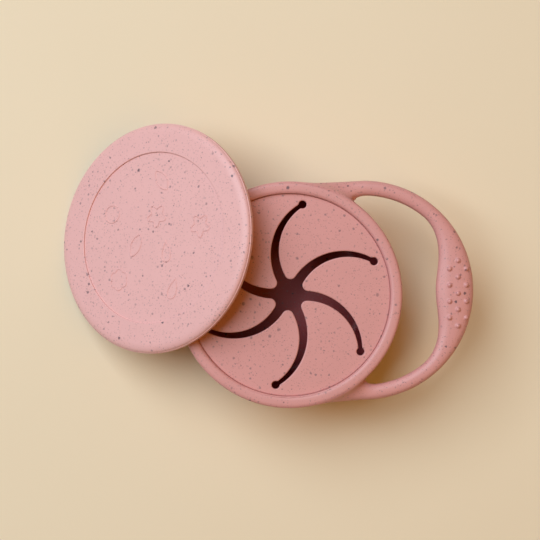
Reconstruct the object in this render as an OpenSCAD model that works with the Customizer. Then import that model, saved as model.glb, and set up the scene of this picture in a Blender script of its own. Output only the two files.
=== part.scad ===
// Toddler snack container: a soft silicone cup with a loop handle, an insert of
// six curved flaps that small hands push through, and a snap-over cover that is
// off and leans on the rim. Millimetres, +Z up. The origin is the centre of the
// cup's flat base, and the handle points along +X.

/* [Cup] */
// Outer diameter over the rim bead
rim_d = 106.5; // [92:0.5:125]
// Height from the base to the crest of the rim
cup_h = 40.6; // [36:0.1:52]
// Diameter of the base before its corner is rounded
base_d = 80; // [66:1:88]
// Thickness of the side wall
wall_t = 2.6; // [2:0.1:3.2]
// Thickness of the floor
floor_t = 3; // [2:0.25:6]
// Radius of the base's outer corner
base_round = 6; // [3:0.5:9]
// Width of the rim bead seen from above
rim_w = 5.6; // [5:0.1:6.4]
// Height of the rim bead
rim_bead_d = 4.6; // [4:0.1:4.8]
// Width of the ledge inside the rim that the flap insert sits on
ledge_w = 1.5; // [1.2:0.1:2.2]

/* [Flap insert] */
// Thickness of the flap disc
disc_t = 2; // [1.4:0.1:2.6]
// Depth of the disc's top face below the crest of the rim
disc_drop = 2; // [1.4:0.1:3]
// Radial gap between the disc and the rim around it
disc_gap = 0.15; // [0.05:0.05:0.3]
// Length of the collar that plugs into the cup
collar_h = 5; // [3:0.5:7]
// Thickness of the collar
collar_t = 1.2; // [1:0.1:2]
// Radial gap between the collar and the cup
collar_gap = 0.1; // [0.05:0.05:0.3]
// Diameter of the round hole that ends each slit
slit_hole_d = 3.7; // [2.8:0.1:4.4]
// Land between a slit's end hole and the collar
slit_land = 0.1; // [0.1:0.05:2]
// Width of a slit beside its end hole
slit_w_out = 1.8; // [1.2:0.1:2.4]
// Width of a slit where it opens into the star
slit_w_in = 4.4; // [3.6:0.1:5]
// Radius at which the slits open into the star
slit_in_r = 10.4; // [9:0.2:12]
// Angle that a slit turns through on its way in
slit_sweep = 34.7; // [30:0.5:38]
// How far a slit bows away from a straight line
slit_bow = 6.6; // [5.6:0.2:7.4]
// Radius of the flap tips
tip_round = 2.8; // [2:0.1:3.2]
// Radial gap around the bead that a flap turns on
hinge_gap = 0.06; // [0.02:0.01:0.1]
// Furthest that a flap bends down into the cup
flap_down = 70; // [40:5:80]
// Furthest that a flap bends up
flap_up = 20; // [5:5:30]
// Direction of the first slit's end hole
slit_turn = 21.5; // [0:0.5:59.5]

/* [Handle] */
// How far the grip stands out past the rim
handle_reach = 34; // [30:0.5:46]
// How far the arms lie inside the tangents to the rim
arm_inset = 1.4; // [0:0.1:2]
// Width of an arm seen from above
arm_w = 6.8; // [5.6:0.2:8]
// Height of an arm
arm_h = 6.5; // [5:0.25:7.5]
// Width of the grip at its middle
grip_w = 17.4; // [12:0.2:21]
// Height of the grip at its middle
grip_h = 8; // [6.5:0.25:10]
// Angle from the middle of the grip to where it has faded into the arm
grip_sweep = 52; // [40:1:65]
// Angle round the cup over which an arm fades into the wall
root_sweep = 24; // [15:1:35]
// How far the soft loop lies to one side
loop_shift = 2.1; // [0:0.1:3]
// Gap between the arms and the rim bead above them
arm_clear = 0.1; // [0.05:0.05:1]

/* [Grip dots] */
// Diameter of a raised dot where it meets the grip
dot_d = 2.4; // [1.6:0.1:3]
// Height of a dot above the grip
dot_h = 0.9; // [0.4:0.1:1.2]
// Distance between dots along a column
dot_pitch = 7.7; // [6:0.1:9]
// Distance between neighbouring columns
dot_column = 3.9; // [3:0.1:4.5]
// How far the middle column lies outside the middle of the grip
dot_offset = 1.1; // [0:0.1:1.5]
// How far the dots lie back from the loop's own shift
dot_back = 1.4; // [0:0.1:2.4]

/* [Cover] */
// Overall depth of the cover
cover_depth = 3.85; // [3.6:0.05:4.6]
// Thickness of the cover's sunken centre
plate_t = 1.3; // [1:0.05:1.6]
// Thickness of the cover over the rim
ring_t = 1.1; // [0.9:0.05:1.4]
// Thickness of the cover's skirt
cover_wall = 1.45; // [1.2:0.05:1.8]
// Radial gap between the skirt and the rim when the cover is on
cover_fit = 0.2; // [0.1:0.05:0.5]
// Width of the cover's rounded edge
crown_w = 4.7; // [3.5:0.1:5.5]
// Drop of the cover's rounded edge
crown_h = 2; // [1.4:0.1:2.4]
// Distance from the cover's edge to the sunken centre
recess_margin = 14; // [10:0.5:20]
// Depth of the sunken centre
recess_depth = 1.4; // [0.8:0.1:1.8]
// Radial gap between the sunken centre and the rim when the cover is on
plug_gap = 0.75; // [0.4:0.05:1.5]
// Height of the lip along the skirt's edge
lip_h = 0.6; // [0.5:0.05:0.8]
// How far the lip reaches in to snap under the rim bead
lip_in = 0.5; // [0.3:0.1:0.8]
// Radius of the lip's corners
lip_round = 0.25; // [0.15:0.05:0.25]

/* [Leaning cover] */
// Distance along the floor from below the rim to the cover's low edge
lean_gap = 59.7; // [50:0.1:75]
// Direction in which the cover slopes up
lean_turn = -10.4; // [-30:0.5:30]
// Sideways distance from the cup's axis to the cover's middle
lean_side = 14.9; // [0:0.5:18]
// Gap between the leaning cover and the rim
rest_gap = 0.1; // [0.05:0.05:0.3]

/* [Hidden] */
$fn = 96;
// How far a cutting shape runs past what it cuts
over = 1;

cup_colour = [0.82, 0.57, 0.52];
handle_colour = [0.85, 0.60, 0.56];
insert_colour = [0.84, 0.59, 0.56];
cover_colour = [0.89, 0.70, 0.70];

// The cup's rim, neck and bore
rim_r = rim_d / 2;
bead_r = rim_bead_d / 2;
bead_c = rim_r - bead_r;
bead_z = cup_h - bead_r;
seat_r = rim_r - rim_w;
bore_r = seat_r - ledge_w;
neck_r = bore_r + wall_t;
ledge_z = cup_h - disc_drop - disc_t;
// The corner inside the base is a little tighter than the one outside
inner_round = base_round - wall_t / 2;

// The handle lies just below the rim bead, clear of the skirt of the seated cover
arm_z = cup_h - rim_bead_d - arm_clear - arm_h / 2;
// The straight neck ends this far below the arms
neck_margin = 1;
neck_z = arm_z - arm_h / 2 - neck_margin;
loop_r = rim_r - arm_inset;
loop_x = rim_r + handle_reach - loop_r;

// The insert
disc_r = seat_r - disc_gap;
collar_r = bore_r - collar_gap;
flap_count = 6;
sector = 360 / flap_count;
slit_r = collar_r - collar_t - slit_land - slit_hole_d / 2;
hinge_r = slit_r * cos(sector / 2);
hinge_z = ledge_z + disc_t / 2;
root_l = 2 * slit_r * sin(sector / 2);

// The cover, in its own frame: z = 0 is the top face of the ring round its centre
cover_in_r = rim_r + cover_fit;
cover_r = cover_in_r + cover_wall;
recess_r = cover_r - recess_margin;
// The centre's underside goes down inside the rim, and the channel round it
// takes the rim bead
plug_r = seat_r - plug_gap;
channel_h = cover_depth - lip_h - ring_t;
channel_round = 0.8 * channel_h;

// The lean: the lip's low corner is on the floor, and the underside of the
// sunken centre lies rest_gap above the rim bead on the low side
lean_run = lean_gap + bead_r;
lean_rise = bead_z - lip_round;
lean_depth = cover_depth - lip_round - recess_depth - plate_t - bead_r - rest_gap;
lean_tilt = acos(lean_depth / norm([lean_run, lean_rise])) - atan2(lean_run, lean_rise);
corner_r = cover_r - lip_round;
corner_h = cover_depth - lip_round;
cover_x = -rim_r - lean_gap + corner_r * cos(lean_tilt) - corner_h * sin(lean_tilt);
cover_z = lip_round + corner_r * sin(lean_tilt) + corner_h * cos(lean_tilt);

function polar(r, a) = [r * cos(a), r * sin(a)];
function unit(v) = v / norm(v);
function turned(p, a) = [p.x * cos(a) - p.y * sin(a), p.x * sin(a) + p.y * cos(a)];

// Centre of the circle through three points
function circle_centre(p, q, s) =
  let (
    d = 2 * (p.x * (q.y - s.y) + q.x * (s.y - p.y) + s.x * (p.y - q.y)),
    pp = p * p, qq = q * q, ss = s * s
  )
  [
    (pp * (q.y - s.y) + qq * (s.y - p.y) + ss * (p.y - q.y)) / d,
    (pp * (s.x - q.x) + qq * (p.x - s.x) + ss * (q.x - p.x)) / d
  ];

// Of the two points where two circles cross, the one nearer to the cup's axis
function crossing(a, ra, b, rb) =
  let (
    d = norm(b - a),
    u = (b - a) / d,
    along = (ra * ra - rb * rb + d * d) / (2 * d),
    side = sqrt(ra * ra - along * along) * [-u.y, u.x],
    p = a + along * u + side,
    q = a + along * u - side
  )
  norm(p) < norm(q) ? p : q;

// A slit's middle line is an arc from the end hole, over its middle, to the star
slit_end = [slit_r, 0];
slit_start = polar(slit_in_r, slit_sweep);
slit_line = unit(slit_start - slit_end);
slit_mid = (slit_end + slit_start) / 2 + slit_bow * [slit_line.y, -slit_line.x];
slit_c = circle_centre(slit_end, slit_mid, slit_start);

// Each side of the slit is an arc as well, and the slit widens towards the star
function beside(p, w) = p + w / 2 * unit(p - slit_c);
slit_w_mid = (slit_w_out + slit_w_in) / 2;
far_c = circle_centre(
  beside(slit_end, slit_w_out), beside(slit_mid, slit_w_mid), beside(slit_start, slit_w_in)
);
far_r = norm(beside(slit_mid, slit_w_mid) - far_c);
near_c = circle_centre(
  beside(slit_end, -slit_w_out), beside(slit_mid, -slit_w_mid), beside(slit_start, -slit_w_in)
);
near_r = norm(beside(slit_mid, -slit_w_mid) - near_c);

// A flap lies between the far side of its own slit and the near side of the next
next_c = turned(near_c, sector);
tip_c = crossing(next_c, near_r - tip_round, far_c, far_r + tip_round);
tip_a = next_c + near_r * unit(tip_c - next_c);
tip_b = far_c + far_r * unit(tip_c - far_c);

// Upright vessel with a flat bottom, a rounded bottom corner and a sloping wall
module vessel(r_low, z_low, r_high, z_high, corner) {
  slope = atan2(r_high - r_low, z_high - z_low);
  c = [r_low + corner * tan(slope) - corner / cos(slope), z_low + corner];
  rotate_extrude() union() {
    polygon([
      [0, z_low], [c.x, z_low], c, c + corner * [cos(slope), -sin(slope)],
      [r_high, z_high], [0, z_high]
    ]);
    intersection() {
      translate(c) circle(r = corner);
      translate([0, z_low]) square([r_high, corner]);
    }
  }
}

// Solid outer form of the cup under the rim
module cup_form() {
  vessel(base_d / 2, 0, neck_r, neck_z, base_round);
  translate([0, 0, neck_z]) cylinder(r = neck_r, h = bead_z - neck_z);
}

// Hollow of the cup up to the ledge
module cup_hollow() {
  inner_low = base_d / 2 + (neck_r - base_d / 2) * floor_t / neck_z - wall_t;
  vessel(inner_low, floor_t, bore_r, neck_z, inner_round);
  translate([0, 0, neck_z]) cylinder(r = bore_r, h = ledge_z - neck_z + over);
}

module cup_body() {
  color(cup_colour) difference() {
    union() {
      cup_form();
      rotate_extrude() {
        for (r = [bead_c, seat_r + bead_r])
          translate([r, bead_z]) circle(r = bead_r);
        translate([seat_r + bead_r, bead_z]) square([bead_c - seat_r - bead_r, bead_r]);
        translate([bore_r, bead_z - bead_r]) square([bead_c - bore_r, bead_r]);
      }
    }
    cup_hollow();
    translate([0, 0, ledge_z]) cylinder(r = seat_r, h = cup_h - ledge_z + over);
  }
}

// Rings along the handle: [centre x, centre y, outward x, outward y, how far into the grip]
arm_c = loop_r - arm_w / 2;
// Each root ends this far inside the face of the neck
root_sink = 0.7;
root_drop = loop_r - neck_r + root_sink;
root_steps = 4;
arm_steps = 3;
loop_steps = 36;
function fade(t) = pow(cos(90 * min(1, t)), 2);
function root_ring(t, side) =
  let (a = 90 + root_sweep * t, r = arm_c - root_drop * (1 - fade(t)))
  [r * cos(a), side * r * sin(a), cos(a), side * sin(a), 0];
function arm_ring(t, side) = [loop_x * t, side * arm_c, 0, side, 0];
function loop_ring(a) =
  let (g = fade(abs(a) / grip_sweep), w = arm_w + (grip_w - arm_w) * g, r = loop_r - w / 2)
  [loop_x + r * cos(a), r * sin(a), cos(a), sin(a), g];
rings = concat(
  [for (k = [0:root_steps - 1]) root_ring(1 - k / root_steps, 1)],
  [for (k = [0:arm_steps - 1]) arm_ring(k / arm_steps, 1)],
  [for (k = [0:loop_steps]) loop_ring(90 - 180 * k / loop_steps)],
  [for (k = [0:arm_steps - 1]) arm_ring(1 - (k + 1) / arm_steps, -1)],
  [for (k = [0:root_steps - 1]) root_ring((k + 1) / root_steps, -1)]
);

// Sections are rounded rectangles with a superellipse outline
ring_sides = 20;
section_power = 2.5;
function bent(v) = sign(v) * pow(abs(v), 2 / section_power);
function ring_points(ring) =
  let (
    w = arm_w + (grip_w - arm_w) * ring[4],
    h = arm_h + (grip_h - arm_h) * ring[4]
  )
  [
    for (k = [0:ring_sides - 1])
      let (
        a = 360 * k / ring_sides,
        across = bent(cos(a)) * w / 2,
        up = bent(sin(a)) * h / 2
      )
      [
        ring[0] + across * ring[2],
        ring[1] + across * ring[3] + loop_shift * min(1, max(0, ring[0] / loop_x)),
        arm_z + up
      ]
  ];

module handle_sweep() {
  points = [for (ring = rings) each ring_points(ring)];
  n = ring_sides;
  last = (len(rings) - 1) * n;
  walls = [
    for (i = [0:len(rings) - 2], k = [0:n - 1])
      let (a = i * n + k, b = i * n + (k + 1) % n)
      each [[a, b + n, b], [a, a + n, b + n]]
  ];
  ends = concat(
    [for (k = [1:n - 2]) [0, k, k + 1]],
    [for (k = [1:n - 2]) [last, last + k + 1, last + k]]
  );
  polyhedron(points, concat(walls, ends));
}

// Height of the grip's top at a point given from the centre of the loop's bend
function grip_top(x, y) =
  let (
    g = fade(abs(atan2(y, x)) / grip_sweep),
    w = arm_w + (grip_w - arm_w) * g,
    h = arm_h + (grip_h - arm_h) * g,
    across = abs(norm([x, y]) - loop_r + w / 2) / (w / 2)
  )
  arm_z + h / 2 * pow(1 - pow(across, section_power), 1 / section_power);

// Raised dots: five in the middle column and four in each column beside it
dot_sides = 24;
dot_rows = 5;
module grip_dots() {
  ball_r = (dot_d * dot_d / 4 + dot_h * dot_h) / (2 * dot_h);
  mid_x = loop_r - grip_w / 2 + dot_offset;
  for (column = [-1:1]) {
    rows = dot_rows - abs(column);
    x = mid_x + column * dot_column;
    for (k = [0:rows - 1]) {
      y = (k - (rows - 1) / 2) * dot_pitch - dot_back;
      translate([loop_x + x, loop_shift + y, grip_top(x, y) + dot_h - ball_r])
        sphere(r = ball_r, $fn = dot_sides);
    }
  }
}

module handle() {
  color(handle_colour) difference() {
    union() {
      handle_sweep();
      grip_dots();
    }
    cylinder(r = neck_r, h = cup_h);
  }
}

// Outline of one slit, from its end hole to the star
module slit_outline() {
  reach = 2 * far_r;
  intersection() {
    difference() {
      translate(far_c) circle(r = far_r);
      translate(near_c) circle(r = near_r);
    }
    polygon([
      slit_c, slit_c + reach * unit(slit_end - slit_c),
      slit_c + reach * unit(slit_mid - slit_c), slit_c + reach * unit(slit_start - slit_c)
    ]);
  }
  translate(slit_end) circle(d = slit_hole_d);
}

// Outline of one flap, with its rounded tip
module flap_outline() {
  inward = -slit_in_r * unit(tip_c);
  difference() {
    translate(next_c) circle(r = near_r);
    translate(far_c) circle(r = far_r);
    polygon([tip_a, tip_b, tip_b + inward, tip_a + inward]);
    translate(slit_end) circle(d = slit_hole_d);
    translate(turned(slit_end, sector)) circle(d = slit_hole_d);
  }
  translate(tip_c) circle(r = tip_round);
}

// Round bead along a flap's root, on the hinge line
module hinge_bead(r) {
  rotate([0, 0, sector / 2]) translate([hinge_r, 0, hinge_z])
    rotate([90, 0, 0]) cylinder(r = r, h = root_l, center = true);
}

// Room in the ring for one flap's bead and for its root as it bends
module hinge_room() {
  room = disc_t / 2 + hinge_gap;
  hinge_bead(room);
  for (a = [-flap_down, flap_up])
    rotate([0, 0, sector / 2]) translate([hinge_r, 0, hinge_z])
      rotate([0, a, 0]) translate([-2 * disc_t, -root_l / 2, -room])
        cube([2 * disc_t, root_l, 2 * room]);
}

module flap_ring() {
  color(insert_colour) rotate([0, 0, slit_turn]) difference() {
    union() {
      translate([0, 0, ledge_z]) cylinder(r = disc_r, h = disc_t);
      translate([0, 0, ledge_z - collar_h]) cylinder(r = collar_r, h = collar_h + disc_t / 2);
    }
    translate([0, 0, ledge_z - collar_h - over])
      cylinder(r = collar_r - collar_t, h = collar_h + over);
    translate([0, 0, ledge_z - over])
      cylinder(r = slit_r, h = disc_t + 2 * over, $fn = flap_count);
    for (k = [0:flap_count - 1]) rotate([0, 0, sector * k]) {
      translate([0, 0, ledge_z - over])
        linear_extrude(height = disc_t + 2 * over) slit_outline();
      hinge_room();
    }
  }
}

module flap(number) {
  color(insert_colour) rotate([0, 0, slit_turn + sector * (number - 1)]) intersection() {
    translate([0, 0, ledge_z]) linear_extrude(height = disc_t) flap_outline();
    union() {
      rotate([0, 0, sector / 2]) translate([-disc_r, -disc_r, ledge_z - over])
        cube([disc_r + hinge_r, 2 * disc_r, disc_t + 2 * over]);
      hinge_bead(disc_t / 2);
    }
  }
}

// Rounded bar: the lip's section
module lip_section(size) {
  translate([lip_round, 0]) square([size.x - 2 * lip_round, size.y]);
  translate([0, lip_round]) square([size.x, size.y - 2 * lip_round]);
  for (x = [lip_round, size.x - lip_round], y = [lip_round, size.y - lip_round])
    translate([x, y]) circle(r = lip_round);
}

// A disc's section, from its axis out, with an oval rounding on its top corner
module capped(r, h, round_w, round_h) {
  square([r - round_w, h]);
  square([r, h - round_h]);
  translate([r - round_w, h - round_h]) scale([round_w, round_h]) circle(r = 1);
}

module cover_section() {
  centre_low = recess_depth + plate_t;
  difference() {
    union() {
      translate([0, -cover_depth + lip_h / 2])
        capped(cover_r, cover_depth - lip_h / 2, crown_w, crown_h);
      translate([cover_in_r - lip_in, -cover_depth])
        lip_section([cover_wall + lip_in, lip_h]);
    }
    translate([0, -cover_depth - over])
      square([plug_r, cover_depth + over - centre_low]);
    translate([plug_r - over / 2, -cover_depth - over])
      square([cover_in_r - lip_in - plug_r + over / 2, lip_h + over]);
    difference() {
      translate([0, -cover_depth + lip_h])
        capped(cover_in_r, channel_h, channel_round, channel_round);
      translate([0, -cover_depth]) square([plug_r, cover_depth]);
    }
    translate([0, -recess_depth]) square([recess_r, recess_depth + over]);
  }
}

module cover() {
  color(cover_colour) rotate([0, 0, lean_turn]) translate([cover_x, lean_side, cover_z])
    rotate([0, -lean_tilt, 0]) rotate_extrude() cover_section();
}

cup_body();
handle();
flap_ring();
flap(1);  // flap_1
flap(2);  // flap_2
flap(3);  // flap_3
flap(4);  // flap_4
flap(5);  // flap_5
flap(6);  // flap_6
cover();
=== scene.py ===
"""Dresses the toddler snack container: a cup with a loop handle, an insert with six flaps
cut into strips where they would bend, and a cover that leans on the rim, all in speckled
silicone. Lengths in the shape code are millimetres; Blender's own are metres."""
import math

import bmesh
import bpy
import numpy as np
from mathutils import Matrix, Vector


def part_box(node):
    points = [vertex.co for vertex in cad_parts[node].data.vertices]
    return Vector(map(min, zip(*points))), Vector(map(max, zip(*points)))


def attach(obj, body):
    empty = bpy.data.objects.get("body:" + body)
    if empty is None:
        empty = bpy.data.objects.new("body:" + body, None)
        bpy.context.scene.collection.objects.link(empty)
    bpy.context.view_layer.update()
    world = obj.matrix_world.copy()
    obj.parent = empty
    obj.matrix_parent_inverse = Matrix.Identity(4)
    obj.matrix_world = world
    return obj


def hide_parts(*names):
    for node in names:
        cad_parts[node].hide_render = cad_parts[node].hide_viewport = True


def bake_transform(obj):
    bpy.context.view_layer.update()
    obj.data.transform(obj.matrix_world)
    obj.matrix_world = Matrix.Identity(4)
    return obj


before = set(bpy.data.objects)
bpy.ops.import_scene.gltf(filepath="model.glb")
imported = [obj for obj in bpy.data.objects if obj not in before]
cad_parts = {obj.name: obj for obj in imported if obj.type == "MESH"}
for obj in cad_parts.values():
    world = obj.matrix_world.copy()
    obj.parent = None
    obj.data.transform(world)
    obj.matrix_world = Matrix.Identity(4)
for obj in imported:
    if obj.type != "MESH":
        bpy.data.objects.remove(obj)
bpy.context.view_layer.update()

MM = 0.001
# Edges that turn by more than this, in degrees, are shaded sharp
SHARP_ANGLE = 35.0
# Points of a mesh nearer than this, in metres, become one, also along a cut
WELD = 1e-7
CUT_WELD = 1e-8
# Stands in for nothing where something is divided
TINY = 1e-9

# The cup, from the frame's boxes and the walls of the moulding
cup_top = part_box("cup_body")[1]
RIM_R = cup_top[0] / MM
CUP_H = cup_top[2] / MM
BASE_R = 40.0
BASE_ROUND = 6.0
WALL = 2.6
FLOOR_T = 3.0
# The rim bead is an oval: its width, half its height, and how square it is
RIM_W = 5.6
BEAD_R = 2.3
BEAD_POWER = 3.2
LEDGE_W = 1.5
BEAD_C = RIM_R - RIM_W / 2
BEAD_Z = CUP_H - BEAD_R
SEAT_R = RIM_R - RIM_W
BORE_R = SEAT_R - LEDGE_W
NECK_R = BORE_R + WALL
NECK_Z = 28.4
# Points this far beside each corner of the section keep its shading crisp
CUP_BAND = 0.4
CUP_STEPS = 256
BEAD_STEPS = 56
CORNER_STEPS = 10
# Faces this near to the inner wall, or this near to the floor and this far turned upwards,
# line the cup, and are painted a darker pink as painted shade
INSIDE_SLACK = 0.01
FLOOR_SLACK = 0.1
FLOOR_FACING = 0.5

# The insert, from its box: a disc with a collar under it
ring_low, ring_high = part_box("flap_ring")
DISC_R = ring_high[0] / MM
DISC_TOP = ring_high[2] / MM
DISC_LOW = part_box("flap_1")[0][2] / MM
COLLAR_LOW = ring_low[2] / MM
COLLAR_GAP = 0.1
COLLAR_R = BORE_R - COLLAR_GAP
COLLAR_T = 1.2
COLLAR_CUT_W = 0.3
COLLAR_CUT_H = 0.4
LEDGE_Z = DISC_LOW
FLAPS = 6
SECTOR = 360 / FLAPS
# A slit runs from its end hole in to the star opening, and bows and widens on the way
SLIT_TURN = 21.5
SLIT_R = 42.9
HOLE_R = 1.85
SLIT_W_OUT = 1.8
SLIT_W_IN = 4.4
SLIT_IN_R = 10.4
SLIT_SWEEP = 34.7
SLIT_BOW = 6.6
TIP_ROUND = 2.8
HOLE_FILLET = 1.2
# A flap turns about the line between its two end holes, which leaves each hole in this
# direction. The fillet from hole to slit is looked for in the other one
HINGE_R = SLIT_R * math.cos(math.radians(SECTOR / 2))
HINGE_DIRECTION = 90 + SECTOR / 2
FILLET_DIRECTION = 150
# Ring and flap meet this far outside the hinge line
SEAM_OUT = 1.5
# The rounded top edge of disc and flaps, and the flat band inside it
EDGE_ROUND = 0.5
EDGE_BAND = 0.25
EDGE_STEPS = 5
# How far the soft disc reaches past the drawn one, towards its seat
DISC_MORE = 0.12
INSERT_STEPS = 240
HOLE_STEPS = 20
# A flap's bend starts at the hinge line and is cut into strips
BEND_LENGTH = 4.6
BEND_CUTS = 14
# The hidden tongue that keeps a flap joined to the ring at the seam
TONGUE_IN = 0.3
TONGUE_OUT = 0.7
TONGUE_SIDE = 0.1
TONGUE_LOW = 0.1
TONGUE_TOP = 0.02

# The handle: a bar of rounded section, bent round in plan and wider at its grip
ARM_Z = 32.65
ARM_W = 6.8
ARM_H = 6.5
GRIP_W = 17.4
GRIP_H = 8.0
GRIP_SWEEP = 52.0
LOOP_INSET = 1.4
LOOP_R = RIM_R - LOOP_INSET
LOOP_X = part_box("handle")[1][0] / MM - LOOP_R
# The grip sits this far to one side
LOOP_SHIFT = 2.1
ARM_C = LOOP_R - ARM_W / 2
# Behind the cup's middle each arm turns in and ends this deep inside the neck
ROOT_SWEEP = 24.0
ROOT_SINK = 0.7
ROOT_DROP = LOOP_R - NECK_R + ROOT_SINK
SECTION_POWER = 2.5
# The fillet from the arms onto the cup: its size, how far it may run from the bar, and
# how far it lies under the cup's own surface where the cup shows
ROOT_FILLET = 6.6
SKIN_REACH = 6.8
SKIN_SINK = 0.03
# The web in the crotch between arm and rim. It starts just inside the rim and falls
# back to the neck over a stretch away from the bar
WEB_FILLET = 7.6
WEB_H = 4.4
WEB_INSET = 0.2
WEB_START = 2.0
WEB_STRETCH = 4.0
WEB_ROUND = 2.0
WEB_BLEND = 0.8
# Nothing swells past the bar's outer side, apart from this round where it meets the rim
OUTER_BLEND = 1.2
# The grid for the handle's mesh, and how far it reaches past the solid's box
HANDLE_PITCH = 0.42
GRID_BACK = 8.0
GRID_SIDE = 3.0
GRID_FRONT = 1.5
GRID_DOWN = 11.0
# Steps that settle its points on the surface, and rounds that even them out
SETTLE_STEPS = 4
EVEN_ROUNDS = 3
EVEN_STEPS = 2

# The raised dots on the grip, in columns set out and back from its middle
DOT_D = 2.4
DOT_H = 0.9
DOT_ROWS = 5
DOT_PITCH = 7.7
DOT_COLUMN = 3.9
DOT_OFFSET = 1.1
DOT_BACK = 1.4
DOT_FILLET = 0.2

# The cover, in its own frame: z = 0 is the top face of the ring round its centre
COVER_DEPTH = 3.85
PLATE = 1.3
RING_T = 1.1
COVER_GAP = 0.2
SKIRT_T = 1.45
COVER_IN_R = RIM_R + COVER_GAP
COVER_R = COVER_IN_R + SKIRT_T
CROWN_W = 4.7
CROWN_H = 2.0
RING_W = 14.0
RECESS_R = COVER_R - RING_W
RECESS = 1.4
PLUG_GAP = 0.75
PLUG_R = SEAT_R - PLUG_GAP
LIP_H = 0.6
LIP_IN = 0.5
LIP_ROUND = 0.25
# The channel's round corner, as a share of the channel's depth
CHANNEL_ROUND = 0.8
COVER_STEPS = 240
ROUND_STEPS = 5
CROWN_STEPS = 20
# A fine ledge between the crown and the skirt, with a small slope down its edge
LEDGE_OUT = 0.35
LEDGE_FALL = 0.04
SLOPE_W = 0.12
SLOPE_FOOT = 0.18
# The soft centre's depth, and the rounds and flats of the step round it
SOFT_RECESS = 0.8
FOOT_ROUND = 0.2
FOOT_FLAT = 0.6
STEP_ROUND = 0.3
STEP_FLAT = 0.8

# The raised motifs: a low line along an outline, and the outlines' sizes
MOTIF_POINTS = 72
LINE_W = 0.8
LINE_H = 0.3
LINE_SINK = 0.3
LINE_SHARPNESS = 1.5
LINE_POINTS = 9
CIRCLE_SIZE = 4.2
STAR_SIZE = 4.4
STAR_SWING = 1.1
FLOWER_SIZE = 4.1
FLOWER_SWING = 1.0
LEAF_LONG = 5.6
LEAF_WIDE = 2.9
LEAF_POINT = 0.6
DROP_LONG = 5.0
DROP_WIDE = 3.4
DROP_POINT = 1.4
# Circles of motifs: radius, direction of the first, its own turn, and the kinds
MOTIF_CIRCLES = [
    (27.5, 20, 65, ["star", "leaf", "ring", "flower", "drop"]),
    (10.5, -30, 15, ["drop", "star", "leaf"]),
]

# How the cover leans: its low edge's distance from under the rim, its turn about the
# cup's axis, its shift to one side, and the room where it rests on the rim
LEAN_GAP = 59.7
LEAN_TURN = -10.4
LEAN_SIDE = 14.9
REST_GAP = 0.1

# The camera looks straight down from this high over a point beside the cup's axis
CAMERA_AT = (-9.0, 11.65, 796.7)
CAMERA_LENS = 107.5
CAMERA_SENSOR = 36

# Each lamp: azimuth and elevation in degrees, size in metres, power in watts, colour
LAMP_AWAY = 2.0
WINDOW = (140, 55, 1.8, 52.0, (0.775, 0.895, 1.0))
BOUNCE = (340, 55, 1.8, 11.4, (1.0, 0.45, 0.05))
WORLD_COLOUR = (1.0, 0.87, 0.3, 1.0)
WORLD_STRENGTH = 0.06

# Colours on screen, 0 to 255
PINK = (216, 150, 145)
PALE_PINK = (231, 174, 170)
# Painted shade: the inside of the cup, dim under the insert, is painted this darker, redder pink
INSIDE_SHADE_PINK = (174, 66, 68)
FLOOR_DARK = (234, 214, 184)
FLOOR_LIGHT = (236, 217, 188)
BACKDROP = (240, 232, 220)
FLOOR_HALF = 1.6

# Each layer of specks: cell in mm, smallest and largest radius in mm, share of the
# cells that hold one, colour on screen, strength
SPECKS = [
    (0.8, 0.18, 0.42, 0.60, (166, 112, 108), 0.60),
    (1.3, 0.25, 0.62, 0.55, (140, 108, 110), 0.62),
    (2.2, 0.30, 0.85, 0.42, (104, 84, 92), 0.70),
    (4.2, 0.38, 1.1, 0.42, (58, 52, 66), 0.9),
]
# A speck is full out to this share of its radius, and the faintest has this strength
SPECK_CORE = 0.45
SPECK_FAINT = 0.4
# The silicone's noises: waves to a metre, and what each one moves or shades
WOBBLE_SCALE = 1400.0
WOBBLE = 0.0008
TINT_SCALE = 70.0
TINT_DARK = 0.93
CROWD_SCALE = 55.0
GRAIN_SCALE = 2600.0
GRAIN_STRENGTH = 0.25
GRAIN_DEPTH = 0.00004
ROUGH_LOW = 0.38
ROUGH_HIGH = 0.5


def polar(radius, degrees):
    """A point in the plane from its distance and direction."""
    a = math.radians(degrees)
    return np.array([radius * math.cos(a), radius * math.sin(a)])


def arc(centre, radius, start, end, steps):
    """Points along an arc between two directions in degrees."""
    return [centre + polar(radius, a) for a in np.linspace(start, end, steps + 1)]


def oval(centre, wide, high, start, end, steps, power=2.0):
    """Points along an oval's arc, given like an arc's of radius one.

    A power over two makes the oval squarer."""
    path = []
    for a in np.linspace(start, end, steps + 1):
        out = polar(1, a)
        path.append(centre + np.sign(out) * np.abs(out) ** (2 / power) * (wide, high))
    return path


def turned(points, degrees):
    """Points of the plane, turned about the origin."""
    a = math.radians(degrees)
    turn = np.array([[math.cos(a), math.sin(a)], [-math.sin(a), math.cos(a)]])
    return np.asarray(points) @ turn


def direction(v):
    """The direction of a vector, in degrees."""
    return math.degrees(math.atan2(v[1], v[0]))


def shaded(mesh):
    """Shades a mesh smooth, apart from its sharp edges."""
    mesh.shade_smooth()
    mesh.set_sharp_from_angle(angle=math.radians(SHARP_ANGLE))
    return mesh


def mesh_of(name, points, faces):
    """A shaded mesh in metres from points in millimetres."""
    mesh = bpy.data.meshes.new(name)
    mesh.from_pydata((np.asarray(points) * MM).tolist(), [], faces)
    mesh.validate()
    tidy = bmesh.new()
    tidy.from_mesh(mesh)
    bmesh.ops.remove_doubles(tidy, verts=tidy.verts, dist=WELD)
    bmesh.ops.recalc_face_normals(tidy, faces=tidy.faces)
    tidy.to_mesh(mesh)
    tidy.free()
    return shaded(mesh)


def piece(mesh, material, nodes):
    """An object for a mesh that stands for some CAD nodes."""
    made = bpy.data.objects.new(mesh.name, mesh)
    bpy.context.scene.collection.objects.link(made)
    mesh.materials.append(material)
    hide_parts(*nodes)
    return made


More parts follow.
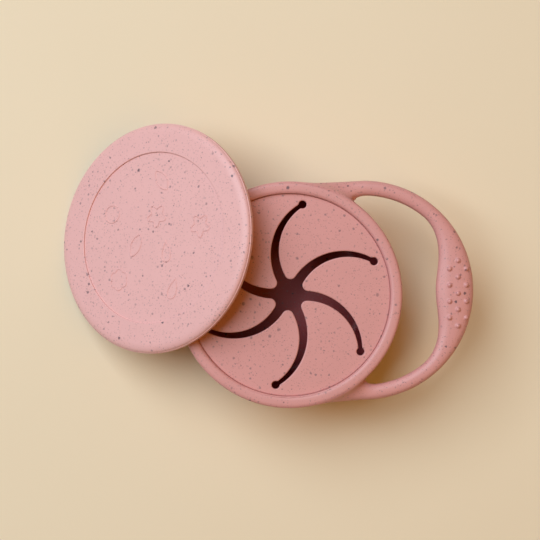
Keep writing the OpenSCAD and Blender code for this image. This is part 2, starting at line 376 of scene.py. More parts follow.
def revolve(profile, steps):
    """Points and faces of a profile of (radius, height) turned about the axis."""
    points = []
    rows = []
    for r, z in profile:
        if r < TINY:
            rows.append([len(points)] * steps)
            points.append((0.0, 0.0, z))
            continue
        rows.append(list(range(len(points), len(points) + steps)))
        for k in range(steps):
            x, y = polar(r, 360 * k / steps)
            points.append((x, y, z))
    faces = []
    for low, high in zip(rows, rows[1:]):
        for k in range(steps):
            n = (k + 1) % steps
            face = []
            for corner in (low[k], low[n], high[n], high[k]):
                if corner not in face:
                    face.append(corner)
            faces.append(face)
    return points, faces


def banded(points, band):
    """Adds a point on both sides of each corner of a profile, to keep shading crisp."""
    path = [points[0]]
    for before, at, after in zip(points, points[1:], points[2:]):
        before, at, after = np.array(before), np.array(at), np.array(after)
        back, ahead = before - at, after - at
        if np.linalg.norm(back) > 3 * band:
            path.append(at + band * back / np.linalg.norm(back))
        path.append(at)
        if np.linalg.norm(ahead) > 3 * band:
            path.append(at + band * ahead / np.linalg.norm(ahead))
    return path + [points[-1]]


def lower_wall(r_low, z_low, r_high, z_high, corner):
    """A flat bottom, a rounded corner and a sloping wall, from the axis to the top."""
    slope = math.atan2(r_high - r_low, z_high - z_low)
    centre = np.array([
        r_low + corner * math.tan(slope) - corner / math.cos(slope),
        z_low + corner,
    ])
    return (
        [(0.0, z_low)]
        + arc(centre, corner, -90, -math.degrees(slope), CORNER_STEPS)
        + [(r_high, z_high)]
    )


def cup_profile():
    """The cup's section: outside up to the rim bead, over it, and down the inside."""
    slope = (NECK_R - BASE_R) / NECK_Z
    outside = lower_wall(BASE_R, 0.0, NECK_R, NECK_Z, BASE_ROUND)
    neck_in = 2 * (BEAD_C - NECK_R) / RIM_W
    under = 90 + math.degrees(math.asin(neck_in ** (BEAD_POWER / 2)))
    middle = np.array([BEAD_C, BEAD_Z])
    bead = oval(middle, RIM_W / 2, BEAD_R, -under, 180, BEAD_STEPS, BEAD_POWER)
    inner_low = BASE_R + slope * FLOOR_T - WALL
    inside = lower_wall(inner_low, FLOOR_T, BORE_R, NECK_Z, BASE_ROUND - WALL / 2)
    seat = [(SEAT_R, LEDGE_Z), (BORE_R, LEDGE_Z)]
    return banded(outside + bead + seat + inside[::-1], CUP_BAND)


def lines_the_cup(face):
    """Whether a face of the cup's mesh lies on its inner wall or on its floor."""
    x, y, z = face.center / MM
    inward = face.normal.x * x + face.normal.y * y < 0
    upward = z < FLOOR_T + FLOOR_SLACK and face.normal.z > FLOOR_FACING
    within = math.hypot(x, y) < BORE_R + INSIDE_SLACK and z > FLOOR_T - INSIDE_SLACK
    return within and (inward or upward)


def smooth_min(a, b, blend):
    """The smaller of two distances, with a fillet where they meet."""
    h = np.maximum(blend - np.abs(a - b), 0) / blend
    return np.minimum(a, b) - h * h * blend / 4


def fade(t):
    """One at zero, falling smoothly to nothing at one."""
    return np.cos(np.pi / 2 * np.clip(t, 0, 1)) ** 2


def cup_distance(p):
    """Distance from the cup's outer form, near its neck and rim bead."""
    rho = np.hypot(p[..., 0], p[..., 1])
    z = p[..., 2]
    slope = math.atan2(NECK_R - BASE_R, NECK_Z)
    cone = (rho - NECK_R - (z - NECK_Z) * math.tan(slope)) * math.cos(slope)
    wall = np.maximum(np.maximum(rho - NECK_R, cone), z - BEAD_Z)
    wide = np.abs((rho - BEAD_C) / (RIM_W / 2)) ** BEAD_POWER
    high = np.abs((z - BEAD_Z) / BEAD_R) ** BEAD_POWER
    bead = ((wide + high) ** (1 / BEAD_POWER) - 1) * BEAD_R
    return np.minimum(wall, bead)


def bar_size(grip):
    """Width and height of the handle's bar, from an arm at 0 to the grip's middle at 1."""
    return ARM_W + (GRIP_W - ARM_W) * grip, ARM_H + (GRIP_H - ARM_H) * grip


def section_distance(across, up, grip):
    """Distance from a rounded bar whose width and height grow towards the grip."""
    w, h = bar_size(grip)
    q = np.abs(across / (w / 2)) ** SECTION_POWER + np.abs(up / (h / 2)) ** SECTION_POWER
    return (q ** (1 / SECTION_POWER) - 1) * np.minimum(w, h) / 2


def bar_distance(p):
    """How far points lie from the handle's bar, in full and in plan, how far outward
    from its centre line, and the bar's width there."""
    x = p[..., 0]
    y = p[..., 1] - LOOP_SHIFT * np.clip(x / LOOP_X, 0, 1)
    up = p[..., 2] - ARM_Z
    bend = np.arctan2(y, np.maximum(x - LOOP_X, TINY))
    grip = np.where(x > LOOP_X, fade(np.abs(bend) / math.radians(GRIP_SWEEP)), 0)
    w = bar_size(grip)[0]
    root = (np.arctan2(np.abs(y), x) - math.pi / 2) / math.radians(ROOT_SWEEP)
    root_r = ARM_C - ROOT_DROP * (1 - fade(root))
    across = np.where(
        x > LOOP_X,
        np.hypot(x - LOOP_X, y) - (LOOP_R - w / 2),
        np.where(x > 0, np.abs(y) - ARM_C, np.hypot(x, y) - root_r),
    )
    past_root = np.maximum(root - 1, 0) * math.radians(ROOT_SWEEP) * ARM_C
    past_root = np.where(x < 0, past_root, 0)
    full = section_distance(across, up, grip) + past_root
    return full, np.abs(across) - w / 2 + past_root, across, w


def grip_top(x, y):
    """Height of the grip's top over a point given from the centre of the bend."""
    w, h = bar_size(fade(abs(math.atan2(y, x)) / math.radians(GRIP_SWEEP)))
    across = abs(math.hypot(x, y) - LOOP_R + w / 2) / (w / 2)
    return ARM_Z + h / 2 * (1 - across ** SECTION_POWER) ** (1 / SECTION_POWER)


def dot_centres():
    """Centres of the balls whose tops are the raised dots."""
    ball = (DOT_D ** 2 / 4 + DOT_H ** 2) / (2 * DOT_H)
    centres = []
    for column in (-1, 0, 1):
        rows = DOT_ROWS - abs(column)
        x = LOOP_R - GRIP_W / 2 + DOT_OFFSET + column * DOT_COLUMN
        for k in range(rows):
            y = (k - (rows - 1) / 2) * DOT_PITCH - DOT_BACK
            z = grip_top(x, y) + DOT_H - ball
            centres.append((LOOP_X + x, LOOP_SHIFT + y, z))
    return ball, centres


def handle_distance(p):
    """Distance from the handle with its dots, its fillets onto the cup and its webs.

    Where the cup would show, the surface lies just under the cup's own."""
    bar, plan, across, width = bar_distance(p)
    rho = np.hypot(p[..., 0], p[..., 1])
    solid = smooth_min(bar, cup_distance(p) + SKIN_SINK, ROOT_FILLET)
    fall = np.clip((plan - WEB_START) / WEB_STRETCH, 0, 1)
    web = smooth_min(plan, rho - (RIM_R - WEB_INSET - (RIM_R - NECK_R) * fall), WEB_FILLET)
    web = -smooth_min(-web, WEB_H / 2 - np.abs(p[..., 2] - ARM_Z), WEB_ROUND)
    solid = smooth_min(solid, np.where(across < 0, web, WEB_FILLET), WEB_BLEND)
    solid = np.maximum(solid, smooth_min(across - width / 2, rho - RIM_R, OUTER_BLEND))
    ball, centres = dot_centres()
    for centre in centres:
        near = np.linalg.norm(p - np.array(centre), axis=-1) - ball
        solid = smooth_min(solid, near, DOT_FILLET)
    seat = np.minimum(SEAT_R + SKIN_SINK - rho, p[..., 2] - LEDGE_Z + SKIN_SINK)
    solid = np.maximum(solid, bar - SKIN_REACH)
    return np.maximum(np.maximum(solid, BORE_R + SKIN_SINK - rho), seat)


def onto_surface(distance, p, steps, reach):
    """Moves points onto the zero level of a distance function."""
    probe = 0.02
    flattest = 0.05
    for _ in range(steps):
        value = distance(p)
        slope = np.stack([
            (distance(p + probe * axis) - distance(p - probe * axis)) / (2 * probe)
            for axis in np.eye(3)
        ], -1)
        size = np.maximum((slope ** 2).sum(-1), flattest)
        move = -slope * (value / size)[:, None]
        length = np.maximum(np.linalg.norm(move, axis=1), TINY)
        p = p + move * np.minimum(1, reach / length)[:, None]
    return p


def surface_net(distance, low, high, pitch):
    """Meshes the zero level of a distance function on a grid, a point to each cell."""
    axes = [np.arange(a, b, pitch) for a, b in zip(low, high)]
    grid = np.stack(np.meshgrid(*axes, indexing="ij"), -1)
    inside = np.stack([distance(layer) for layer in grid]) < 0
    corners = sum(
        inside[i:inside.shape[0] - 1 + i, j:inside.shape[1] - 1 + j, k:inside.shape[2] - 1 + k]
        .astype(int)
        for i in (0, 1) for j in (0, 1) for k in (0, 1)
    )
    mixed = (corners > 0) & (corners < 8)
    number = np.full(mixed.shape, -1)
    number[mixed] = np.arange(mixed.sum())
    cells = np.argwhere(mixed)
    points = np.array(low) + (cells + 0.5) * pitch
    faces = []
    for axis in range(3):
        u, v = [a for a in range(3) if a != axis]
        first = np.moveaxis(inside, (axis, u, v), (0, 1, 2))
        names = np.moveaxis(number, (axis, u, v), (0, 1, 2))
        here = first[:-1, 1:-1, 1:-1]
        there = first[1:, 1:-1, 1:-1]
        a, b, c = np.nonzero(here != there)
        quad = np.stack([
            names[a, b, c], names[a, b + 1, c], names[a, b + 1, c + 1], names[a, b, c + 1]
        ], 1)
        flip = here[a, b, c] == (axis == 1)
        quad[flip] = quad[flip][:, ::-1]
        faces.append(quad)
    faces = np.concatenate(faces)
    points = onto_surface(distance, points, SETTLE_STEPS, pitch)
    for _ in range(EVEN_ROUNDS):
        points = relaxed(points, faces)
        points = onto_surface(distance, points, EVEN_STEPS, pitch)
    return points, faces.tolist()


def relaxed(points, faces):
    """Moves each point half way to the middle of its neighbours."""
    total = np.zeros_like(points)
    count = np.zeros(len(points))
    for a, b in ((0, 1), (1, 2), (2, 3), (3, 0)):
        for here, there in ((faces[:, a], faces[:, b]), (faces[:, b], faces[:, a])):
            np.add.at(total, here, points[there])
            np.add.at(count, here, 1)
    return (points + total / count[:, None]) / 2


def circle_centre(p, q, s):
    """Centre of the circle through three points."""
    lines = 2 * np.array([q - p, s - p])
    return np.linalg.solve(lines, np.array([q @ q - p @ p, s @ s - p @ p]))


def crossings(a, ra, b, rb):
    """Where two circles cross: left and right of the line between their centres."""
    line = b - a
    gap = np.linalg.norm(line)
    unit = line / gap
    along = (ra * ra - rb * rb + gap * gap) / (2 * gap)
    side = math.sqrt(ra * ra - along * along) * np.array([-unit[1], unit[0]])
    return a + along * unit + side, a + along * unit - side


def slit_sides():
    """Centres and radii of the arcs along a slit's far and near sides."""
    end = np.array([SLIT_R, 0.0])
    start = polar(SLIT_IN_R, SLIT_SWEEP)
    line = (start - end) / np.linalg.norm(start - end)
    mid = (end + start) / 2 + SLIT_BOW * np.array([line[1], -line[0]])
    middle = circle_centre(end, mid, start)
    sides = []
    for side in (1, -1):
        edge = []
        for p, w in ((end, SLIT_W_OUT), (mid, (SLIT_W_OUT + SLIT_W_IN) / 2), (start, SLIT_W_IN)):
            edge.append(p + side * w / 2 * (p - middle) / np.linalg.norm(p - middle))
        centre = circle_centre(*edge)
        sides.append((centre, np.linalg.norm(edge[1] - centre)))
    return sides


def nearest(points, target):
    """The point that lies nearest to a target."""
    return min(points, key=lambda p: np.linalg.norm(p - target))


def seam_turn(inset):
    """How far round an end hole, from its outer side, the seam is at an inset."""
    return HINGE_DIRECTION - math.degrees(math.asin(SEAM_OUT / (HOLE_R + inset)))


def flap_arcs():
    """A flap's free edge as arcs: (centre, radius, start, end, grows with inset, steps).

    It runs from one end hole in along the slit, round the tip, and out to the next."""
    (far_c, far_r), (near_c, near_r) = slit_sides()
    near_c = turned([near_c], SECTOR)[0]
    hole_a = np.array([SLIT_R, 0.0])
    hole_b = polar(SLIT_R, SECTOR)
    tip = nearest(
        crossings(near_c, near_r - TIP_ROUND, far_c, far_r + TIP_ROUND), np.zeros(2)
    )
    fillet_a = nearest(
        crossings(hole_a, HOLE_R + HOLE_FILLET, far_c, far_r + HOLE_FILLET),
        hole_a + polar(3 * HOLE_R, FILLET_DIRECTION),
    )
    fillet_b = nearest(
        crossings(hole_b, HOLE_R + HOLE_FILLET, near_c, near_r - HOLE_FILLET),
        hole_b + polar(3 * HOLE_R, SECTOR - FILLET_DIRECTION),
    )

    def toward(a, b, r):
        return a + r * (b - a) / np.linalg.norm(b - a)

    far_in = toward(far_c, tip, far_r)
    near_in = toward(near_c, tip, near_r)
    touch_a = toward(hole_a, fillet_a, HOLE_R)
    touch_b = toward(hole_b, fillet_b, HOLE_R)
    far_out = toward(far_c, fillet_a, far_r)
    near_out = toward(near_c, fillet_b, near_r)
    seam_a = hole_a + polar(HOLE_R, seam_turn(0))
    seam_b = hole_b + polar(HOLE_R, SECTOR - seam_turn(0))
    parts = [
        (hole_a, HOLE_R, seam_a, touch_a, 1, 8),
        (fillet_a, HOLE_FILLET, touch_a, far_out, -1, 8),
        (far_c, far_r, far_out, far_in, 1, 48),
        (tip, TIP_ROUND, far_in, near_in, -1, 24),
        (near_c, near_r, near_in, near_out, -1, 48),
        (fillet_b, HOLE_FILLET, near_out, touch_b, -1, 8),
        (hole_b, HOLE_R, touch_b, seam_b, 1, 8),
    ]
    arcs = []
    for centre, radius, start, end, grows, steps in parts:
        a = direction(start - centre)
        b = direction(end - centre)
        b = a + (b - a + 180) % 360 - 180
        arcs.append((centre, radius, a, b, grows, steps))
    return arcs


def flap_row(arcs, inset, z):
    """One row of points along a flap's free edge, moved into the flap by an inset.

    Both ends stay on the seam."""
    row = []
    shift = seam_turn(inset) - seam_turn(0)
    for index, (centre, radius, a, b, grows, steps) in enumerate(arcs):
        if index == 0:
            a += shift
        if index == len(arcs) - 1:
            b -= shift
        chain = arc(centre, radius + grows * inset, a, b, steps)
        row.extend(chain if index == 0 else chain[1:])
    return [(x, y, z) for x, y in row]


def edge_rows():
    """Inset and height of each row over a rounded top edge, from the wall's foot up."""
    rows = [(0.0, DISC_LOW)]
    for a in np.linspace(0, 90, EDGE_STEPS + 1):
        rise = EDGE_ROUND * math.sin(math.radians(a))
        inset = EDGE_ROUND * (1 - math.cos(math.radians(a)))
        rows.append((inset, DISC_TOP - EDGE_ROUND + rise))
    rows.append((EDGE_ROUND + EDGE_BAND, DISC_TOP))
    return rows


def flap_mesh(number):
    """One flap: a plate with a rounded edge, cut into strips where it bends."""
    arcs = flap_arcs()
    rows = [flap_row(arcs, inset, z) for inset, z in edge_rows()]
    n = len(rows[0])
    points = [p for row in rows for p in row]
    faces = []
    for r in range(len(rows) - 1):
        for k in range(n - 1):
            a = r * n + k
            faces.append([a, a + 1, a + 1 + n, a + n])
    last = (len(rows) - 1) * n
    faces.append(list(range(last, last + n)))
    faces.append(list(range(n - 1, -1, -1)))
    end = len(rows) - 1
    faces.append([r * n for r in range(end)] + [r * n + n - 1 for r in range(end - 1, -1, -1)])
    half = SLIT_R / 2 - HOLE_R - TONGUE_SIDE
    across = polar(1, SECTOR / 2)
    along = polar(1, SECTOR / 2 + 90)
    first = len(points)
    corners = [(-TONGUE_IN, -half), (TONGUE_OUT, -half), (TONGUE_OUT, half), (-TONGUE_IN, half)]
    for z in (DISC_LOW + TONGUE_LOW, DISC_TOP - TONGUE_TOP):
        for out, side in corners:
            points.append((*((HINGE_R + SEAM_OUT + out) * across + side * along), z))
    walls = [(k, (k + 1) % 4, (k + 1) % 4 + 4, k + 4) for k in range(4)]
    for face in [(0, 1, 2, 3), (4, 5, 6, 7)] + walls:
        faces.append([first + k for k in face])
    points = np.array(points)
    turn = SLIT_TURN + SECTOR * (number - 1)
    points[:, :2] = turned(points[:, :2], turn)
    mesh = mesh_of(f"flap_{number}_soft", points, faces)
    inward = Vector((*(-polar(1, turn + SECTOR / 2)), 0))
    hinge = -inward * HINGE_R * MM
    cut = bmesh.new()
    cut.from_mesh(mesh)
    for step in np.linspace(0, 1, BEND_CUTS):
        bmesh.ops.bisect_plane(
            cut, geom=cut.verts[:] + cut.edges[:] + cut.faces[:], dist=CUT_WELD,
            plane_co=hinge + inward * BEND_LENGTH * step * MM, plane_no=inward,
        )
    cut.to_mesh(mesh)
    cut.free()
    return shaded(mesh), hinge, inward


def ring_mesh():
    """The insert's ring: a rounded disc edge, a collar, and half of each end hole."""
    rows = edge_rows()
    outer = [(DISC_R + DISC_MORE - inset, z) for inset, z in rows[::-1]]
    outer += [
        (COLLAR_R, DISC_LOW),
        (COLLAR_R, COLLAR_LOW + COLLAR_CUT_H),
        (COLLAR_R - COLLAR_CUT_W, COLLAR_LOW),
        (COLLAR_R - COLLAR_T + COLLAR_CUT_W, COLLAR_LOW),
        (COLLAR_R - COLLAR_T, COLLAR_LOW + COLLAR_CUT_H),
        (COLLAR_R - COLLAR_T, DISC_LOW),
    ]
    points, faces = revolve(outer, INSERT_STEPS)
    top = list(range(INSERT_STEPS))
    bottom = [(len(outer) - 1) * INSERT_STEPS + k for k in top]
    holes = []
    for s in range(FLAPS):
        hole = polar(SLIT_R, SECTOR * s)
        strips = []
        for inset, z in rows:
            turn = seam_turn(inset)
            chain = arc(
                hole, HOLE_R + inset, SECTOR * s - turn, SECTOR * s + turn, 2 * HOLE_STEPS
            )
            strips.append(list(range(len(points), len(points) + len(chain))))
            points.extend((x, y, z) for x, y in chain)
        for low, high in zip(strips, strips[1:]):
            for k in range(2 * HOLE_STEPS):
                faces.append([low[k + 1], low[k], high[k], high[k + 1]])
        if s > 0:
            faces += sector_faces(holes[-1], strips, top, bottom, s - 1)
        holes.append(strips)
    faces += sector_faces(holes[-1], holes[0], top, bottom, FLAPS - 1)
    points = np.array(points)
    points[:, :2] = turned(points[:, :2], SLIT_TURN)
    return mesh_of("flap_ring_soft", points, faces)


def sector_faces(a, b, top, bottom, sector):
    """The ring's flat faces from one end hole to the next: top, underside and seam."""
    span = INSERT_STEPS // FLAPS
    rim = [(sector * span + k) % INSERT_STEPS for k in range(span, -1, -1)]
    upper = a[-1][HOLE_STEPS:] + b[-1][:HOLE_STEPS + 1] + [top[k] for k in rim]
    lower = a[0][HOLE_STEPS:] + b[0][:HOLE_STEPS + 1] + [bottom[k] for k in rim]
    seam = [row[-1] for row in a[:-1]] + [row[0] for row in b[-2::-1]]
    return [upper, lower[::-1], seam]


def cover_profile():
    """The cover's section, from the axis over the top, round the lip and back under."""
    top = -SOFT_RECESS
    low = -COVER_DEPTH
    foot = np.array([RECESS_R - FOOT_ROUND, top + FOOT_ROUND])
    step = np.array([RECESS_R + STEP_ROUND, -STEP_ROUND])
    path = [(0.0, top), (RECESS_R - FOOT_FLAT, top)]
    path += arc(foot, FOOT_ROUND, 270, 360, ROUND_STEPS)
    path += arc(step, STEP_ROUND, 180, 90, ROUND_STEPS + 1)
    path += [(RECESS_R + STEP_FLAT, 0.0)]
    crown = np.array([COVER_R - CROWN_W, -CROWN_H])
    path += oval(crown, CROWN_W - LEDGE_OUT, CROWN_H, 90, 0, CROWN_STEPS)
    path += [(COVER_R - SLOPE_W, -CROWN_H - LEDGE_FALL), (COVER_R, -CROWN_H - SLOPE_FOOT)]
    outer = np.array([COVER_R - LIP_ROUND, low + LIP_ROUND])
    inner = np.array([COVER_IN_R - LIP_IN + LIP_ROUND, low + LIP_ROUND])
    above = inner + np.array([0, LIP_H - 2 * LIP_ROUND])
    path += arc(outer, LIP_ROUND, 0, -90, ROUND_STEPS)
    path += arc(inner, LIP_ROUND, 270, 180, ROUND_STEPS)
    path += arc(above, LIP_ROUND, 180, 90, ROUND_STEPS) + [(COVER_IN_R, low + LIP_H)]
    soft = CHANNEL_ROUND * (COVER_DEPTH - LIP_H - RING_T)
    channel = np.array([COVER_IN_R - soft, -RING_T - soft])
    path += arc(channel, soft, 0, 90, ROUND_STEPS + 3)
    path += [(PLUG_R, -RING_T), (PLUG_R, -RECESS - PLATE), (0.0, -RECESS - PLATE)]
    return path


def motif(kind):
    """A closed outline about 9 mm across: a ring, a star, a flower, a leaf or a drop."""
    turn = np.linspace(0, 2 * math.pi, MOTIF_POINTS + 1)[:-1]
    ahead = np.cos(turn)
    side = np.sin(turn)
    if kind == "leaf":
        return np.stack([LEAF_LONG * ahead, LEAF_WIDE * side * np.abs(side) ** LEAF_POINT], 1)
    if kind == "drop":
        return np.stack([DROP_WIDE * side * np.sin(turn / 2) ** DROP_POINT, DROP_LONG * ahead], 1)
    sizes = {
        "ring": np.full_like(turn, CIRCLE_SIZE),
        "star": STAR_SIZE + STAR_SWING * np.cos(5 * turn),
        "flower": FLOWER_SIZE + FLOWER_SWING * np.abs(np.cos(3 * turn)),
    }
    return np.stack([sizes[kind] * ahead, sizes[kind] * side], 1)


def line_along(path, z):
    """Points and faces of a low rounded line along a closed outline, from a height up."""
    ahead = np.roll(path, -1, 0) - np.roll(path, 1, 0)
    ahead /= np.maximum(np.linalg.norm(ahead, axis=1), TINY)[:, None]
    side = np.stack([ahead[:, 1], -ahead[:, 0]], 1)
    across = np.linspace(-1, 1, LINE_POINTS)
    rows = [
        (u * LINE_W / 2, z + LINE_H * math.cos(u * math.pi / 2) ** LINE_SHARPNESS)
        for u in across
    ]
    rows = [(-LINE_W / 2, z - LINE_SINK)] + rows + [(LINE_W / 2, z - LINE_SINK)]
    n = len(path)
    points = []
    for k in range(n):
        for out, up in rows:
            points.append((*(path[k] + out * side[k]), up))
    m = len(rows)
    faces = []
    for k in range(n):
        for j in range(m):
            a = k * m + j
            b = k * m + (j + 1) % m
            c = ((k + 1) % n) * m + (j + 1) % m
            d = ((k + 1) % n) * m + j
            faces.append([a, b, c, d])
    return points, faces


def cover_motifs():
    """Each raised motif's kind, place and turn."""
    places = []
    for radius, first, lean, kinds in MOTIF_CIRCLES:
        for k, kind in enumerate(kinds):
            step = 360 / len(kinds) * k
            places.append((kind, polar(radius, step + first), step + lean))
    return places


def cover_mesh():
    """The cover with its raised motifs, leaning on the rim."""
    points, faces = revolve(cover_profile(), COVER_STEPS)
    for kind, middle, turn in cover_motifs():
        more, added = line_along(turned(motif(kind), turn) + middle, -SOFT_RECESS)
        faces += [[v + len(points) for v in face] for face in added]
        points += more
    run = LEAN_GAP + BEAD_R
    rise = BEAD_Z - LIP_ROUND
    depth = COVER_DEPTH - LIP_ROUND - RECESS - PLATE - BEAD_R - REST_GAP
    tilt = math.acos(depth / math.hypot(run, rise)) - math.atan2(run, rise)
    corner_r = COVER_R - LIP_ROUND
    corner_h = COVER_DEPTH - LIP_ROUND
    x = -RIM_R - LEAN_GAP + corner_r * math.cos(tilt) - corner_h * math.sin(tilt)
    z = LIP_ROUND + corner_r * math.sin(tilt) + corner_h * math.cos(tilt)
    place = (
        Matrix.Rotation(math.radians(LEAN_TURN), 4, "Z")
        @ Matrix.Translation((x, LEAN_SIDE, z))
        @ Matrix.Rotation(-tilt, 4, "Y")
    )
    points = [place @ Vector(p) for p in points]
    return mesh_of("cover_soft", [tuple(p) for p in points], faces)


class Nodes:
    """Short ways to add and link shader nodes."""

    def __init__(self, tree):
        self.tree = tree

    def add(self, kind, settings=None, **inputs):
        node = self.tree.nodes.new(kind)
        for key, value in (settings or {}).items():
            setattr(node, key, value)
        for key, value in inputs.items():
            self.put(node.inputs[key.replace("_", " ")], value)
        return node

    def put(self, socket, value):
        if isinstance(value, bpy.types.NodeSocket):
            self.tree.links.new(value, socket)
        else:
            socket.default_value = value

    def maths(self, operation, *values):
        node = self.tree.nodes.new("ShaderNodeMath")
        node.operation = operation
        for socket, value in zip(node.inputs, values):
            self.put(socket, value)
        return node.outputs[0]

    def mixed(self, factor, a, b):
        node = self.tree.nodes.new("ShaderNodeMix")
        node.data_type = "RGBA"
        self.put(node.inputs["Factor"], factor)
        self.put(node.inputs["A"], a)
        self.put(node.inputs["B"], b)
        return node.outputs["Result"]


def linear(r, g, b):
    """A colour given as 0 to 255 on screen, as the shader wants it."""
    def one(c):
        c /= 255
        return c / 12.92 if c <= 0.04045 else ((c + 0.055) / 1.055) ** 2.4
    return (one(r), one(g), one(b), 1.0)


def silicone(name, colour):
    """Matte silicone with specks of several sizes all through it."""
    material = bpy.data.materials.new(name)
    material.use_nodes = True
    n = Nodes(material.node_tree)
    shader = material.node_tree.nodes["Principled BSDF"]
    place = n.add("ShaderNodeTexCoord").outputs["Object"]
    wobble = n.add("ShaderNodeTexNoise", Vector=place, Scale=WOBBLE_SCALE, Detail=1.0)
    moved = n.add("ShaderNodeVectorMath", {"operation": "MULTIPLY_ADD"})
    n.put(moved.inputs[0], wobble.outputs["Color"])
    n.put(moved.inputs[1], (WOBBLE, WOBBLE, WOBBLE))
    n.put(moved.inputs[2], place)
    tint = n.add("ShaderNodeTexNoise", Vector=place, Scale=TINT_SCALE, Detail=3.0)
    dark = tuple(c * TINT_DARK for c in colour[:3]) + (1.0,)
    shade = n.mixed(tint.outputs["Fac"], dark, colour)
    crowd = n.add("ShaderNodeTexNoise", Vector=place, Scale=CROWD_SCALE, Detail=2.0)
    for cell, least, most, share, speck, strength in SPECKS:
        cells = n.add("ShaderNodeTexVoronoi", Vector=moved.outputs[0], Scale=1 / (cell * MM))
        chance = n.add("ShaderNodeSeparateColor", Color=cells.outputs["Color"])
        spread = n.maths("MULTIPLY", chance.outputs["Red"], chance.outputs["Red"])
        radius = n.maths("MULTIPLY", spread, (most - least) / cell)
        radius = n.maths("ADD", radius, least / cell)
        limit = n.maths("MULTIPLY", crowd.outputs["Fac"], 2 * share)
        there = n.maths("LESS_THAN", chance.outputs["Green"], limit)
        soft = n.add(
            "ShaderNodeMapRange", {"interpolation_type": "SMOOTHSTEP"},
            Value=cells.outputs["Distance"], To_Min=1.0, To_Max=0.0,
        )
        n.put(soft.inputs["From Min"], n.maths("MULTIPLY", radius, SPECK_CORE))
        n.put(soft.inputs["From Max"], radius)
        mask = n.maths("MULTIPLY", soft.outputs["Result"], there)
        full = chance.outputs["Blue"]
        faint = n.maths("MULTIPLY_ADD", full, 1 - SPECK_FAINT, SPECK_FAINT)
        mask = n.maths("MULTIPLY", mask, faint)
        mask = n.maths("MULTIPLY", mask, strength)
        shade = n.mixed(mask, shade, linear(*speck))
    n.put(shader.inputs["Base Color"], shade)
    grain = n.add("ShaderNodeTexNoise", Vector=place, Scale=GRAIN_SCALE, Detail=3.0)
    rough = n.add(
        "ShaderNodeMapRange", Value=grain.outputs["Fac"], To_Min=ROUGH_LOW, To_Max=ROUGH_HIGH
    )
    n.put(shader.inputs["Roughness"], rough.outputs["Result"])
    bump = n.add(
        "ShaderNodeBump",
        Height=grain.outputs["Fac"], Strength=GRAIN_STRENGTH, Distance=GRAIN_DEPTH,
    )
    n.put(shader.inputs["Normal"], bump.outputs["Normal"])
    shader.inputs["Specular IOR Level"].default_value = 0.5
    return material


def floor_material():
    """Plain pale table top with the faintest mottling."""
    material = bpy.data.materials.new("pale_floor")
    material.use_nodes = True
    n = Nodes(material.node_tree)
    shader = material.node_tree.nodes["Principled BSDF"]
    place = n.add("ShaderNodeTexCoord").outputs["Object"]
    tint = n.add("ShaderNodeTexNoise", Vector=place, Scale=9.0, Detail=4.0)
    shade = n.mixed(tint.outputs["Fac"], linear(*FLOOR_DARK), linear(*FLOOR_LIGHT))
    n.put(shader.inputs["Base Color"], shade)
    shader.inputs["Roughness"].default_value = 0.7
    shader.inputs["Specular IOR Level"].default_value = 0.2
    return material


def add_floor():
    """The surface that the cup stands on."""
    half = FLOOR_HALF
    mesh = bpy.data.meshes.new("floor")
    corners = [(-half, -half, 0), (half, -half, 0), (half, half, 0), (-half, half, 0)]
    mesh.from_pydata(corners, [], [[0, 1, 2, 3]])
    mesh.materials.append(floor_material())
    made = bpy.data.objects.new("floor", mesh)
    bpy.context.scene.collection.objects.link(made)


def add_camera():
    """The photograph's view: straight down, with the cup's axis right of the middle."""
    data = bpy.data.cameras.new("camera")
    data.sensor_width = CAMERA_SENSOR
    data.lens = CAMERA_LENS
    made = bpy.data.objects.new("camera", data)
    made.location = Vector(CAMERA_AT) * MM
    bpy.context.scene.collection.objects.link(made)
    bpy.context.scene.camera = made


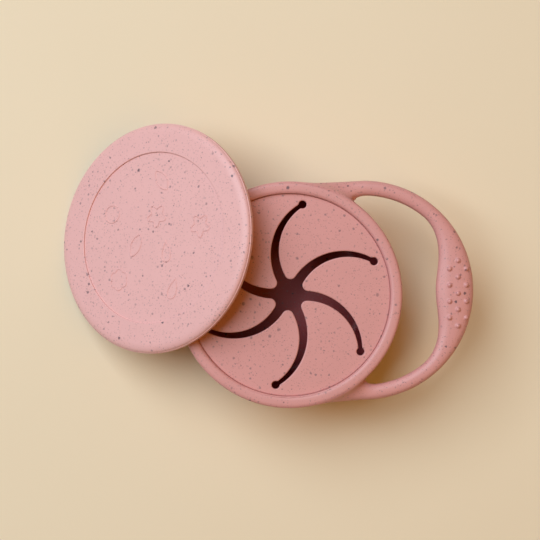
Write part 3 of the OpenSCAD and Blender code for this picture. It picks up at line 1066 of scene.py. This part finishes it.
def add_lamp(name, azimuth, elevation, size, power, colour):
    """A square soft box at a set distance from the cup, aimed at its foot."""
    level = math.cos(math.radians(elevation))
    place = LAMP_AWAY * Vector((*(level * polar(1, azimuth)), math.sin(math.radians(elevation))))
    data = bpy.data.lights.new(name, "AREA")
    data.energy = power
    data.size = size
    data.color = colour
    made = bpy.data.objects.new(name, data)
    made.location = place
    made.rotation_euler = (-place).to_track_quat("-Z", "Y").to_euler()
    bpy.context.scene.collection.objects.link(made)


def add_world(colour, strength):
    """Even light from all round, and a pale backdrop for the camera."""
    world = bpy.data.worlds.new("studio")
    bpy.context.scene.world = world
    world.use_nodes = True
    n = Nodes(world.node_tree)
    n.tree.nodes.clear()
    light = n.add("ShaderNodeBackground", Color=colour, Strength=strength)
    seen = n.add("ShaderNodeBackground", Color=linear(*BACKDROP), Strength=1.0)
    ray = n.add("ShaderNodeLightPath")
    mix = n.add("ShaderNodeMixShader", Fac=ray.outputs["Is Camera Ray"])
    n.put(mix.inputs[1], light.outputs[0])
    n.put(mix.inputs[2], seen.outputs[0])
    out = n.add("ShaderNodeOutputWorld")
    n.put(out.inputs["Surface"], mix.outputs[0])


bpy.context.scene.view_settings.view_transform = "Standard"
add_camera()
add_world(WORLD_COLOUR, WORLD_STRENGTH)
add_lamp("window", *WINDOW)
add_lamp("bounce", *BOUNCE)
add_floor()

pink = silicone("pink_silicone", linear(*PINK))
pale = silicone("pale_pink_silicone", linear(*PALE_PINK))
# The cup's inner wall and floor get a darker pink as painted shade, for the dim inside under the
# insert
inside_shade = silicone("pink_silicone_painted_inside_shade", linear(*INSIDE_SHADE_PINK))

cup = piece(mesh_of("cup_soft", *revolve(cup_profile(), CUP_STEPS)), pink, ["cup_body"])
# The faces that line the cup take the painted shade of the inside
cup.data.materials.append(inside_shade)
for face in cup.data.polygons:
    if lines_the_cup(face):
        face.material_index = 1
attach(cup, "cup")

handle_low, handle_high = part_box("handle")
net = surface_net(
    handle_distance,
    (handle_low[0] / MM - GRID_BACK, handle_low[1] / MM - GRID_SIDE, ARM_Z - GRID_DOWN),
    (handle_high[0] / MM + GRID_FRONT, handle_high[1] / MM + GRID_SIDE, CUP_H),
    HANDLE_PITCH,
)
handle = piece(mesh_of("handle_soft", *net), pink, ["handle"])
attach(handle, "cup")

ring = piece(ring_mesh(), pink, ["flap_ring"])
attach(ring, "insert")

for number in range(1, FLAPS + 1):
    mesh, hinge, inward = flap_mesh(number)
    flap = piece(mesh, pink, [f"flap_{number}"])
    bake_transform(flap)

cover = piece(cover_mesh(), pale, ["cover"])
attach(cover, "cover")
